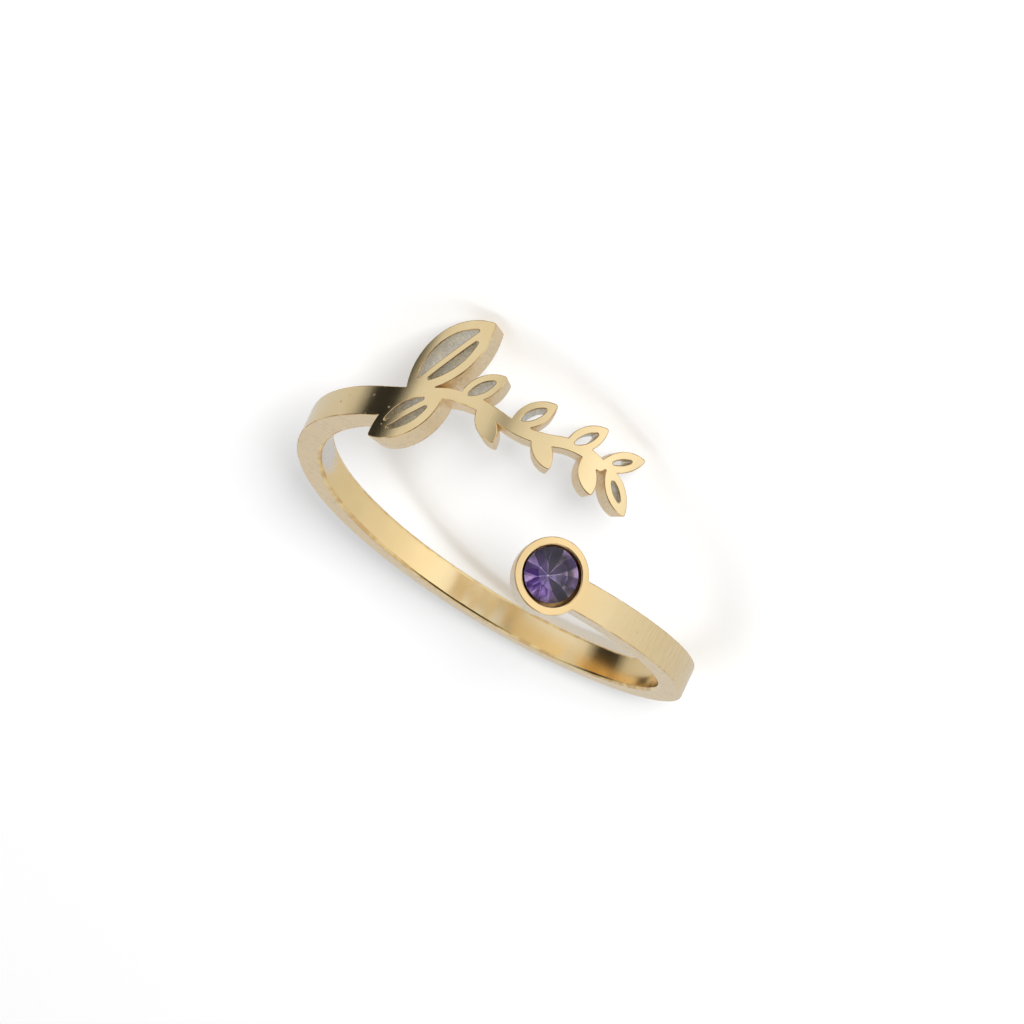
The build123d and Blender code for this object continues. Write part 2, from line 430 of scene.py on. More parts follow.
def half_lens_outline(base, tip, bulge, rim, rib, side, corner_radius):
    """The slot between a leaf's rim and its straight rib, on one side of the rib."""
    chord, along, middle = chord_of(base, tip)
    across = leftwards(along) * side
    radius = arc_radius(chord, bulge)
    drop = bulge - radius
    reach = radius - rim - corner_radius
    level = rib / 2 + corner_radius
    half = math.sqrt(reach**2 - (level - drop) ** 2)
    first = math.atan2(level - drop, -half)
    last = math.atan2(level - drop, half)
    down = -math.pi / 2
    points = arc_points((0.0, drop), reach + corner_radius, first, last)
    points += arc_points((half, level), corner_radius, last, down, CORNER_STEP)
    points += arc_points((-half, level), corner_radius, down, first - 2 * math.pi, CORNER_STEP)
    return [tuple(middle + along * x + across * y) for x, y in points]


def smooth_line(points):
    """A smooth curve through points: its place at a run, its whole run and its last heading."""
    stops = np.array(points, float)
    run = np.concatenate([[0.0], np.cumsum(np.linalg.norm(np.diff(stops, axis=0), axis=1))])
    step = np.diff(run)
    count = len(stops)
    matrix = np.zeros((count, count))
    target = np.zeros((count, 2))
    for i in range(1, count - 1):
        matrix[i, i - 1 : i + 2] = step[i - 1], 2 * (step[i - 1] + step[i]), step[i]
        slopes = (stops[i] - stops[i - 1]) / step[i - 1], (stops[i + 1] - stops[i]) / step[i]
        target[i] = 6 * (slopes[1] - slopes[0])
    matrix[0, :3] = step[1], -(step[0] + step[1]), step[0]
    matrix[-1, -3:] = step[-1], -(step[-2] + step[-1]), step[-2]
    bend = np.linalg.solve(matrix, target)

    def at(place):
        i = int(np.clip(np.searchsorted(run, place) - 1, 0, count - 2))
        a, b, h = run[i + 1] - place, place - run[i], step[i]
        value = (bend[i] * a**3 + bend[i + 1] * b**3) / (6 * h)
        value += (stops[i] / h - bend[i] * h / 6) * a + (stops[i + 1] / h - bend[i + 1] * h / 6) * b
        return float(value[0]), float(value[1])

    end = Vector(at(run[-1])) - Vector(at(run[-1] - 0.001))
    return at, float(run[-1]), end.normalized()


def eased_line(start, start_heading, end, end_heading, count=40):
    """A curve that leaves start and reaches end in the given directions."""
    chord = (end - start).length
    points = []
    for i in range(count + 1):
        t = i / count
        place = start * (2 * t**3 - 3 * t**2 + 1) + start_heading * chord * (t**3 - 2 * t**2 + t)
        place += end * (3 * t**2 - 2 * t**3) + end_heading * chord * (t**3 - t**2)
        points.append(tuple(place))
    return points


def running_arcs(start, heading, ends):
    """Arcs that run on from each other: rows of centre, radius, first and last angle."""
    arcs = []
    x, y = start
    for end_x, end_y in ends:
        chord = math.hypot(end_x - x, end_y - y)
        half = (math.atan2(end_y - y, end_x - x) - heading + math.pi) % (2 * math.pi) - math.pi
        radius = chord / (2 * math.sin(abs(half)))
        side = 1 if half > 0 else -1
        centre = (x - side * radius * math.sin(heading), y + side * radius * math.cos(heading))
        first = math.atan2(y - centre[1], x - centre[0])
        arcs.append((centre, radius, first, first + 2 * half))
        heading += 2 * half
        x, y = end_x, end_y
    return arcs


def stem_outline(arcs, width):
    """Outline of a line of running arcs, with round ends."""
    left, right = [], []
    half = width / 2
    for centre, radius, first, last in arcs:
        side = 1 if last > first else -1
        left += arc_points(centre, radius - side * half, first, last)
        right += arc_points(centre, radius + side * half, first, last)
    ends = []
    for (centre, radius, first, last), turn, way in (
        (arcs[-1], arcs[-1][3], 0.0),
        (arcs[0], arcs[0][2], math.pi),
    ):
        heading = turn + math.copysign(math.pi / 2, last - first) + way
        bounds = heading + math.pi / 2, heading - math.pi / 2
        ends.append(arc_points(on_circle(centre, radius, turn), half, *bounds, STEM_END_STEP)[1:-1])
    return left + ends[0] + right[::-1] + ends[1]


def plate_shapes(plate):
    """Closed outlines of the flat plate: those of metal and those cut through it."""

    def on_spray(along, across):
        x = plate.spray_left + along * plate.spray_length
        return x, plate.spray_bottom + across * plate.spray_height

    middle = []
    for rows, end_angle, end_rise in (
        (TOWARDS_CUP[::-1], plate.cup_angle, plate.cup_end_rise),
        ([Station(0.0, 0.0)] + TOWARDS_SPRAY, plate.spray_end_angle, plate.spray_end_rise),
    ):
        for row in rows:
            turn = plate.palm_angle + row.turn * (end_angle - plate.palm_angle)
            middle.append((turn * plate.outer_radius, row.rise * end_rise))
    at, run, end_heading = smooth_line(middle)
    count = math.ceil(run / BAND_STEP)
    line = [at(run * i / count) for i in range(count + 1)]
    half = plate.band_width / 2
    upper = [(x, y + half) for x, y in line]
    lower = [(x, y - half) for x, y in line]
    shapes = [lower + upper[::-1]]

    heading = Vector((math.cos(STEM_HEADING), math.sin(STEM_HEADING)))
    across = leftwards(heading) * plate.stem_width / 2
    start = Vector(on_spray(*STEM[0]))
    top = eased_line(Vector(upper[-1]), end_heading, start + across, heading)
    foot = eased_line(Vector(lower[-1]), end_heading, start - across, heading)
    shapes.append(foot + top[::-1])

    points = [on_spray(*row) for row in STEM]
    shapes.append(stem_outline(running_arcs(points[0], STEM_HEADING, points[1:]), plate.stem_width))
    cup = (plate.cup_angle * plate.outer_radius, plate.cup_rise)
    shapes.append(arc_points(cup, plate.cup_radius, 0.0, 2 * math.pi)[:-1])

    cuts = []
    corner = plate.slot_corner_radius
    for leaf in LEAVES:
        base, tip = on_spray(leaf.base_x, leaf.base_y), on_spray(leaf.tip_x, leaf.tip_y)
        chord = math.dist(base, tip)
        left, right = leaf.left * chord, leaf.right * chord
        shapes.append(lens_outline(base, tip, left, right, 0.0, plate.tip_radius))
        if leaf.kind == "slotted":
            cuts.append(lens_outline(base, tip, left, right, plate.small_leaf_rim, corner))
        if leaf.kind == "ribbed":
            rim, rib = plate.leaf_rim, plate.leaf_rib
            cuts.append(half_lens_outline(base, tip, left, rim, rib, 1, corner))
            cuts.append(half_lens_outline(base, tip, right, rim, rib, -1, corner))
    return shapes, cuts


# From outlines to loops of points

def loop_area(loop):
    return sum(a[0] * b[1] - b[0] * a[1] for a, b in zip(loop, loop[1:] + loop[:1])) / 2


def triangles_within(metal, cuts, loose_points=()):
    """Triangles in a metal outline and in no cut, with their points and where those come from."""
    points, faces = [], []
    for outline in metal + cuts:
        numbers = list(range(len(points), len(points) + len(outline)))
        faces.append(numbers if loop_area(outline) > 0 else numbers[::-1])
        points += [Vector(place) for place in outline]
    points += [Vector(place) for place in loose_points]
    found, _, triangles, sources, _, owners = delaunay_2d_cdt(points, [], faces, 0, JOINED)
    kept = [
        triangle
        for triangle, owner in zip(triangles, owners)
        if owner and all(face < len(metal) for face in owner)
    ]
    return kept, [(place.x, place.y) for place in found], sources


def merged_loops(metal, cuts):
    """The borders of the united metal, each with the metal on its left."""
    triangles, points, _ = triangles_within(metal, cuts)
    edges = {(t[i], t[(i + 1) % 3]) for t in triangles for i in range(3)}
    following = {a: b for a, b in edges if (b, a) not in edges}
    loops = []
    while following:
        first = min(following)
        loop = [first]
        while following[loop[-1]] != first:
            loop.append(following[loop[-1]])
        for number in loop:
            del following[number]
        loops.append([points[number] for number in loop])
    return loops


def evened(loop, shortest=0.018, longest=0.12):
    """The loop without its tiny edges, and with its long edges divided."""
    kept = []
    for place in loop:
        if not kept or math.dist(place, kept[-1]) > shortest:
            kept.append(place)
    while math.dist(kept[0], kept[-1]) <= shortest:
        kept.pop()
    points = []
    for a, b in zip(kept, kept[1:] + kept[:1]):
        count = max(1, math.ceil(math.dist(a, b) / longest))
        for i in range(count):
            points.append((a[0] + (b[0] - a[0]) * i / count, a[1] + (b[1] - a[1]) * i / count))
    return points


Spoke = namedtuple("Spoke", "point inwards outward")


def spokes_of(loop):
    """For each point of a loop, the ways in which it moves when the loop is drawn into the metal.

    A smooth place has one way. A sharp corner of the void gets a fan of them,
    and a sharp corner of the metal two that move alike and face different sides.
    """
    rows = []
    for before, place, after in zip(loop[-1:] + loop[:-1], loop, loop[1:] + loop[:1]):
        first = (Vector(place) - Vector(before)).normalized()
        second = (Vector(after) - Vector(place)).normalized()
        first_in, second_in = leftwards(first), leftwards(second)
        turn = math.atan2(first.x * second.y - first.y * second.x, first.dot(second))
        mitre = (first_in + second_in) / (1 + first_in.dot(second_in))
        if abs(turn) < SHARP_TURN:
            rows.append([Spoke(place, mitre, -mitre.normalized())])
        elif turn > 0:
            rows.append([Spoke(place, mitre, -first_in), Spoke(place, mitre, -second_in)])
        else:
            count = max(2, math.ceil(-turn / FAN_STEP))
            fan = []
            for i in range(count + 1):
                bent = Matrix.Rotation(turn * i / count, 2) @ first_in
                fan.append(Spoke(place, bent, -bent))
            rows.append(fan)
    return rows


def ways_at(turn):
    """The ways along the band, across it and outwards, at an angle round the ring's axis."""
    along = Vector((math.cos(turn), 0.0, -math.sin(turn)))
    outward = Vector((math.sin(turn), 0.0, math.cos(turn)))
    return along, Vector((0.0, 1.0, 0.0)), outward


class PlateMesh:
    """Gathers the points and faces of the bent plate."""

    def __init__(self, plate):
        self.plate = plate
        self.points = []
        self.flat = []
        self.faces = []
        self.normals = []
        self.finishes = []

    def frame_at(self, x):
        return ways_at(x / self.plate.outer_radius)

    def add_point(self, x, y, depth):
        _, across, outward = self.frame_at(x)
        self.points.append(outward * (self.plate.outer_radius - depth) + across * y)
        self.flat.append((x, y, depth))
        return len(self.points) - 1

    def bent_normal(self, x, depth, side, up):
        """A direction on the bent plate, from the flat one: sideways, and up out of its face."""
        along, across, outward = self.frame_at(x)
        shrink = 1 - depth / self.plate.outer_radius
        return (along * side[0] + across * side[1] * shrink + outward * up).normalized()

    def add_face(self, numbers, normals, finish):
        """A face, less the corners that fall together."""
        corners = [(n, v) for i, (n, v) in enumerate(zip(numbers, normals)) if n != numbers[i - 1]]
        if len(corners) > 2:
            self.faces.append([n for n, _ in corners])
            self.normals += [v for _, v in corners]
            self.finishes.append(finish)

    def add_strip(self, rows, levels, finishes):
        """Skin round a loop, through levels of draw-in, depth and lean of the normal."""
        rings = []
        for inset, depth, _ in levels:
            ring = []
            for spokes in rows:
                x, y = spokes[0].point
                if inset < TINY:
                    ring.append([self.add_point(x, y, depth)] * len(spokes))
                    continue
                numbers = []
                for i, (_, inwards, _) in enumerate(spokes):
                    if i and (inwards - spokes[i - 1].inwards).length < TINY:
                        numbers.append(numbers[-1])
                    else:
                        drawn_in = x + inwards.x * inset, y + inwards.y * inset
                        numbers.append(self.add_point(*drawn_in, depth))
                ring.append(numbers)
            rings.append(ring)
        steps = []
        for i, spokes in enumerate(rows):
            steps += [((i, k), (i, k + 1)) for k in range(len(spokes) - 1)]
            steps.append(((i, len(spokes) - 1), ((i + 1) % len(rows), 0)))
        for level in range(len(levels) - 1):
            for (i, k), (j, m) in steps:
                numbers, normals = [], []
                corners = (i, k, level + 1), (j, m, level + 1), (j, m, level), (i, k, level)
                for row, way, where in corners:
                    spoke = rows[row][way]
                    _, depth, lean = levels[where]
                    side = spoke.outward * math.cos(lean)
                    numbers.append(rings[where][row][way])
                    normals.append(self.bent_normal(spoke.point[0], depth, side, math.sin(lean)))
                self.add_face(numbers, normals, finishes[level])
        return rings

    def add_broad_face(self, rings, depth, up, finish):
        """The broad face inside rings of points, filled with even triangles. Up is 1 or -1."""
        loops, orders = [], []
        for ring in rings:
            order = list(dict.fromkeys(number for numbers in ring for number in numbers))
            loops.append([self.flat[n][:2] for n in order])
            orders.append(order)
        areas = [loop_area(loop) for loop in loops]
        border = areas.index(max(areas))
        holes = [i for i in range(len(loops)) if i != border]
        numbers = [n for i in [border] + holes for n in orders[i]]
        metal, cuts = [loops[border]], [loops[i] for i in holes]
        loose = inner_grid(metal + cuts, self.plate.grain)
        triangles, points, sources = triangles_within(metal, cuts, loose)
        known = {}
        for t in triangles:
            corners = []
            for n in t:
                if n not in known:
                    source = [s for s in sources[n] if s < len(numbers)]
                    known[n] = numbers[source[0]] if source else self.add_point(*points[n], depth)
                corners.append(known[n])
            normals = [self.frame_at(self.flat[n][0])[2] * up for n in corners]
            self.add_face(corners[::up], normals[::up], finish)


def inner_grid(loops, grain):
    """Points of an even grid inside the loops, clear of their lines."""
    lines = np.array([(a + b) for loop in loops for a, b in zip(loop, loop[1:] + loop[:1])])
    low, high = lines[:, :2].min(0), lines[:, :2].max(0)
    rise = grain * math.sqrt(3) / 2
    rows = []
    for j in range(int((high[1] - low[1]) / rise) + 1):
        y = low[1] + (j + FIRST_ROW) * rise
        x = np.arange(low[0] + (j % 2) * grain / 2, high[0], grain)
        ax, ay, bx, by = lines[(lines[:, 1] > y) != (lines[:, 3] > y)].T
        crossed = ax + (y - ay) / (by - ay) * (bx - ax)
        inside = (crossed[None, :] > x[:, None]).sum(1) % 2 == 1
        x = x[inside]
        near = lines[np.abs(lines[:, 1] - y) < grain]
        if len(near) and len(x):
            gap = np.hypot(near[None, :, 0] - x[:, None], near[None, :, 1] - y).min(1)
            x = x[gap > grain * CLEAR_OF_LINE]
        rows += [(float(place), float(y)) for place in x]
    return rows


# Finishes

class Nodes:
    """Lays out a tree of nodes."""

    def __init__(self, tree):
        self.tree = tree
        tree.nodes.clear()

    def node(self, kind, **values):
        node = self.tree.nodes.new(kind)
        for name, value in values.items():
            setattr(node, name, value)
        return node

    def link(self, output, socket):
        self.tree.links.new(output, socket)

    def feed(self, sockets, values):
        """Gives each socket its value or colour, or links it to one."""
        for socket, value in zip(sockets, values):
            if isinstance(value, bpy.types.NodeSocket):
                self.link(value, socket)
            else:
                socket.default_value = (*value, 1.0) if socket.type == "RGBA" else value

    def maths(self, operation, *values):
        node = self.node("ShaderNodeMath", operation=operation)
        self.feed(node.inputs, values)
        return node.outputs[0]

    def plus(self, one, two):
        return self.maths("ADD", one, two)

    def minus(self, one, two):
        return self.maths("SUBTRACT", one, two)

    def times(self, one, two):
        return self.maths("MULTIPLY", one, two)

    def spread(self, value, low, high, to_low=0.0, to_high=1.0, kind="LINEAR"):
        """The value's run from low to high, carried over to another one and held at its ends."""
        node = self.node("ShaderNodeMapRange", interpolation_type=kind)
        names = ("Value", "From Min", "From Max", "To Min", "To Max")
        self.feed([node.inputs[name] for name in names], (value, low, high, to_low, to_high))
        return node.outputs[0]


class Finish(Nodes):
    """Lays out a material. Its patterns lie on the flat plate, in millimetres."""

    def __init__(self, name, viewport):
        self.material = bpy.data.materials.new(name)
        self.material.use_nodes = True
        self.material.diffuse_color = (*viewport, 1.0)
        super().__init__(self.material.node_tree)
        self.shader = self.node("ShaderNodeBsdfPrincipled")
        output = self.node("ShaderNodeOutputMaterial")
        self.link(self.shader.outputs[0], output.inputs["Surface"])

    def shade(self, tone, roughness):
        self.link(tone, self.shader.inputs["Base Color"])
        self.link(roughness, self.shader.inputs["Roughness"])

    def flat_place(self, scale, turn=0.0, middle=(0.0, 0.0, 0.0)):
        """Place on the plate from a middle, turned, then scaled along, across and in depth."""
        scale = (scale,) * 3 if isinstance(scale, float) else scale
        place = self.node("ShaderNodeAttribute", attribute_name="flat_place")
        mapping = self.node("ShaderNodeMapping", vector_type="TEXTURE")
        mapping.inputs["Location"].default_value = middle
        mapping.inputs["Rotation"].default_value = (0.0, 0.0, turn)
        mapping.inputs["Scale"].default_value = [1 / factor for factor in scale]
        self.link(place.outputs["Vector"], mapping.inputs["Vector"])
        return mapping.outputs[0]

    def noise(self, scale, detail=3.0, roughness=0.55, turn=0.0):
        noise = self.node("ShaderNodeTexNoise")
        noise.inputs["Scale"].default_value = 1.0
        noise.inputs["Detail"].default_value = detail
        noise.inputs["Roughness"].default_value = roughness
        self.link(self.flat_place(scale, turn), noise.inputs["Vector"])
        return noise.outputs["Fac"]

    def cloud(self, scale, low, high, detail=3.0, roughness=0.55):
        """Noise that is 0 below low and 1 above high."""
        return self.spread(self.noise(scale, detail, roughness), low, high)

    def along(self, low, high):
        """Rises from 0 to 1 between two places along the plate."""
        parts = self.node("ShaderNodeSeparateXYZ")
        self.link(self.flat_place(1.0), parts.inputs[0])
        return self.spread(parts.outputs["X"], low, high)

    def stretch(self, start, end):
        """1 between a start and an end along the plate, and 0 beyond them."""
        return self.minus(self.along(*start), self.along(*end))

    def patch(self, along, across, wide, high):
        """1 in a ragged patch of the plate, and 0 round it."""
        reach = self.node("ShaderNodeVectorMath", operation="LENGTH")
        place = self.flat_place((1 / wide, 1 / high, 0.001), 0.0, (along, across, 0.0))
        self.link(place, reach.inputs[0])
        ragged = self.times(self.noise(2.5, 4.0, 0.65), 0.9)
        return self.spread(self.plus(reach.outputs["Value"], ragged), 1.0, 1.5, 1.0, 0.0)

    def pits(self, spacing, size, kept):
        """1 in round pits that stand about a spacing apart, of which a share is kept."""
        cells = self.node("ShaderNodeTexVoronoi")
        cells.inputs["Scale"].default_value = 1.0
        self.link(self.flat_place(1 / spacing), cells.inputs["Vector"])
        pit = self.spread(cells.outputs["Distance"], size / spacing / 2, size / spacing, 1.0, 0.0)
        pick = self.node("ShaderNodeSeparateColor")
        self.link(cells.outputs["Color"], pick.inputs[0])
        return self.times(pit, self.spread(pick.outputs[0], 1 - kept - 0.01, 1 - kept))

    def mixed(self, factor, one, two):
        """The first tone where the factor is 0, and the second where it is 1."""
        node = self.node("ShaderNodeMix", data_type="RGBA")
        sockets = {socket.identifier: socket for socket in (*node.inputs, *node.outputs)}
        names = ("Factor_Float", "A_Color", "B_Color")
        self.feed([sockets[name] for name in names], (factor, one, two))
        return sockets["Result_Color"]

    def bumped(self, height, depth):
        bump = self.node("ShaderNodeBump")
        bump.inputs["Strength"].default_value = 1.0
        bump.inputs["Distance"].default_value = depth * MM
        self.link(height, bump.inputs["Height"])
        self.link(bump.outputs[0], self.shader.inputs["Normal"])


def darker(tone, factor):
    return tuple(channel * factor for channel in tone)


def metal(name, viewport):
    finish = Finish(name, viewport)
    finish.shader.inputs["Metallic"].default_value = 1.0
    return finish


def polished_finish(plate):
    """The outer face: polished, with brush lines where the band turns under the cup, and pits."""
    finish = metal("polished gilding", plate.gilding)
    cloud = finish.cloud(0.9, 0.35, 0.7, 4.0)
    tone = finish.mixed(cloud, plate.gilding, (0.955, 0.75, 0.42))
    tone = finish.mixed(finish.along(*CUP_SIDE), (0.93, 0.69, 0.355), tone)
    turn = finish.stretch(TURN_START, TURN_END)
    shoulder = finish.stretch(SHOULDER_START, SHOULDER_END)
    pits = finish.times(finish.pits(0.42, 0.05, 0.30), finish.plus(turn, shoulder))
    lines = finish.noise((9.0, 0.7, 2.0), 4.0, 0.65, math.radians(-6))
    streaks = finish.times(finish.spread(lines, 0.42, 0.64, 0.0, 0.8), turn)
    tone = finish.mixed(streaks, tone, (0.86, 0.66, 0.39))
    tone = finish.mixed(pits, tone, (0.42, 0.29, 0.16))
    brush = finish.spread(turn, 0.0, 1.0, 0.02, 0.16)
    brushed = finish.times(finish.spread(lines, 0.3, 0.7), brush)
    cloudy = finish.spread(cloud, 0.0, 1.0, plate.polish, plate.polish + 0.05)
    finish.shade(tone, finish.plus(cloudy, brushed))
    height = finish.times(lines, finish.spread(turn, 0.0, 1.0, 0.06, 1.0))
    height = finish.plus(height, finish.times(finish.noise(30.0, 2.0, 0.6), 0.08))
    finish.bumped(finish.minus(height, finish.times(pits, 1.5)), 0.010)
    return finish.material


def inner_finish(plate):
    """The face at the finger: polished, with slanting scratches, a thin place and a worn one."""
    finish = metal("polished inside", plate.gilding)
    cloud = finish.cloud((0.7, 0.9, 0.9), 0.35, 0.7)
    tone = finish.mixed(cloud, (0.965, 0.735, 0.385), (0.94, 0.71, 0.36))
    tone = finish.mixed(finish.stretch(THIN_START, THIN_END), tone, (1.0, 0.85, 0.56))
    bare = finish.patch(*WORN_PLACE, *WORN_SIZE)
    specks = finish.cloud(9.0, 0.45, 0.6, 3.0, 0.7)
    tone = finish.mixed(bare, tone, finish.mixed(specks, (0.80, 0.78, 0.76), (0.90, 0.84, 0.74)))
    scratches = finish.noise((26.0, 0.8, 1.0), 2.0, 0.6, math.radians(35))
    fine = finish.spread(scratches, 0.62, 0.72, 0.0, 0.05)
    rough = finish.spread(bare, 0.0, 1.0, plate.polish + 0.03, plate.satin)
    finish.shade(tone, finish.plus(rough, fine))
    deep = finish.spread(scratches, 0.62, 0.72, 0.0, 0.15)
    finish.bumped(finish.plus(deep, finish.times(specks, bare)), 0.002)
    return finish.material


def cut_finish(name, tone, other, roughness):
    """Walls left by the cutting beam: mottled, paler at the cup from a painted reflection of white,
    with lines through the sheet.
    """
    finish = metal(name, tone)
    patches = finish.cloud((1.1, 1.1, 0.8), 0.35, 0.68)
    mottle = finish.cloud((6.0, 6.0, 4.0), 0.42, 0.62, 4.0, 0.75)
    dark_patch = finish.mixed(mottle, tone, darker(tone, 0.84))
    mixed = finish.mixed(patches, dark_patch, finish.mixed(mottle, other, tone))
    # Painted reflection: the cup's walls made pale as if mirroring white surroundings
    reflection_tone = tuple(channel * 0.65 + 0.32 for channel in tone)
    painted_reflection_at_cup = finish.mixed(mottle, reflection_tone, darker(reflection_tone, 0.90))
    mixed = finish.mixed(finish.along(*CUP_WALL_PAINTED_REFLECTION), painted_reflection_at_cup, mixed)
    pits = finish.pits(0.30, 0.035, 0.12)
    lines = finish.noise((12.0, 12.0, 0.8), 3.0, 0.6)
    rough = finish.spread(finish.plus(lines, mottle), 0.5, 1.5, roughness - 0.06, roughness + 0.08)
    finish.shade(finish.mixed(pits, mixed, darker(tone, 0.5)), rough)
    finish.bumped(finish.minus(finish.plus(lines, finish.times(mottle, 0.4)), pits), 0.012)
    return finish.material


def worn(finish, patches, tones, wear_scale, roughness, bump):
    """Two tones in patches, unevenly rubbed. The patches are a scale and the noise's two bounds."""
    wear = finish.noise(wear_scale, 3.0, 0.6)
    tone = finish.mixed(finish.cloud(*patches), *tones)
    finish.shade(tone, finish.spread(wear, 0.3, 0.7, *roughness))
    finish.bumped(wear, bump)
    return finish.material


def rubbed_finish(name, tone, brown):
    """Edges rounded by polishing, bright in places and browned in others."""
    return worn(metal(name, tone), (1.3, 0.4, 0.62), (tone, brown), 12.0, (0.14, 0.24), 0.003)


def pocket_painted_shade_finish(plate):
    """The pocket under the stone, painted dark brown: painted shade in the recess under the stone.
    """
    finish = metal("pocket", darker(plate.gilding, 0.5))
    # Dark browns: painted shade under the stone
    tones = (0.72, 0.48, 0.20), (0.50, 0.25, 0.10)
    return worn(finish, (3.0, 0.35, 0.7), tones, 14.0, (0.26, 0.4), 0.004)


def glass_finish(stone):
    """Front of the stone: clear glass with a breath of violet."""
    finish = Finish("violet glass", stone.glass)
    cloud = finish.cloud(1.5, 0.35, 0.65, 2.0)
    tint = finish.mixed(cloud, stone.glass, darker(stone.glass, 0.94))
    finish.shade(tint, finish.spread(finish.noise(9.0), 0.4, 0.7, 0.0, 0.015))
    finish.shader.inputs["Transmission Weight"].default_value = 1.0
    finish.shader.inputs["IOR"].default_value = 1.56
    finish.shader.inputs["Specular IOR Level"].default_value = 0.35
    return finish.material


def foil_finish(name, tone):
    """Back of the stone: satin foil, seen through the glass. On the facets its tone is a painted
    reflection.
    """
    finish = metal(name, tone)
    cloud = finish.noise(2.5)
    tint = finish.mixed(finish.spread(cloud, 0.3, 0.7), tone, darker(tone, 0.85))
    finish.shade(tint, finish.spread(cloud, 0.3, 0.7, 0.17, 0.22))
    return finish.material


def paper_finish(stage):
    """Matte white paper."""
    finish = Finish("white paper", stage.paper)
    grain = finish.node("ShaderNodeTexNoise")
    grain.inputs["Scale"].default_value = 900.0
    finish.link(finish.node("ShaderNodeTexCoord").outputs["Object"], grain.inputs["Vector"])
    lighter = tuple(min(1.0, channel * 1.01) for channel in stage.paper)
    tint = finish.mixed(grain.outputs["Fac"], stage.paper, lighter)
    finish.link(tint, finish.shader.inputs["Base Color"])
    finish.shader.inputs["Roughness"].default_value = 0.9
    finish.shader.inputs["Specular IOR Level"].default_value = 0.1
    return finish.material


# Laying the ring down

def laid_down(plate):
    """Turns the ring's own frame to rest, with its middle at the record's finger mount."""
    turn = Matrix.Rotation(plate.ring_tip, 4, "X") @ Matrix.Rotation(plate.ring_turn, 4, "Z")
    middle = turn @ Vector((0.0, plate.finger_middle, 0.0))
    shift = Vector(FINGER["pos_m"]) / MM - middle
    return Matrix.Translation(shift) @ turn


Skin = namedtuple("Skin", "points flat faces finishes normals")


def finished_object(name, node, down, finishes, skin):
    """Lays a skin down by a matrix, in metres, hangs it on the root body and hides the imported
    node in its stead.
    """
    mesh = bpy.data.meshes.new(name)
    mesh.from_pydata([tuple(down @ place * MM) for place in skin.points], [], skin.faces)
    for finish in finishes:
        mesh.materials.append(finish)
    mesh.polygons.foreach_set("material_index", skin.finishes)
    attribute = mesh.attributes.new("flat_place", "FLOAT_VECTOR", "POINT")
    attribute.data.foreach_set("vector", [value for place in skin.flat for value in place])
    if skin.normals is not None:
        turn = down.to_3x3()
        mesh.polygons.foreach_set("use_smooth", [True] * len(mesh.polygons))
        mesh.normals_split_custom_set([tuple(turn @ normal) for normal in skin.normals])
    mesh.update()
    if len(mesh.polygons) != len(skin.faces):
        raise RuntimeError(name + " lost faces")
    piece = bpy.data.objects.new(name, mesh)
    bpy.context.scene.collection.objects.link(piece)
    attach(piece, "root")
    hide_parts(node)


def rub_levels(depth, outer_rub, inner_rub):
    """Levels of a wall from the outer face to the inner one, with rounded edges."""
    outer, inner = [], []
    for i in range(RUB_STEPS + 1):
        t = math.pi / 2 * i / RUB_STEPS
        first, last = 1 - math.sin(t), 1 - math.cos(t)
        outer.append((outer_rub * first, outer_rub * last, math.pi / 2 - t))
        inner.append((inner_rub * last, depth - inner_rub * first, -t))
    return outer + [(0.0, depth / 2, 0.0)] + inner


def add_pocket(work, plate):
    """The stone's pocket: its rim on the bent face, and a wall straight down to a flat floor."""
    cup = (plate.cup_angle * plate.outer_radius, plate.cup_rise)
    radius = plate.outer_radius * math.asin(plate.pocket_radius / plate.outer_radius)
    rows = spokes_of(arc_points(cup, radius, 2 * math.pi, 0.0, RIM_STEP)[:-1])
    levels = rub_levels(plate.sheet_thickness, plate.rim_rub, plate.inner_rub)[: RUB_STEPS + 1]
    rings = work.add_strip(rows, levels, [OUTER_RUB] * RUB_STEPS)
    along, across, up = work.frame_at(cup[0])
    edge = [numbers[0] for numbers in rings[-1]]
    floor = []
    for number in edge:
        place = work.points[number]
        drop = place.dot(up) - (plate.outer_radius - plate.pocket_depth)
        work.points.append(place - up * drop)
        work.flat.append((*work.flat[number][:2], plate.pocket_depth))
        floor.append(len(work.points) - 1)
    sides = [(along * row[0].outward.x + across * row[0].outward.y).normalized() for row in rows]
    for i in range(len(edge)):
        j = (i + 1) % len(edge)
        corners = [floor[i], floor[j], edge[j], edge[i]]
        work.add_face(corners, [sides[i], sides[j], sides[j], sides[i]], POCKET)
    work.add_face(floor[::-1], [up] * len(floor), POCKET)
    return rings[0]


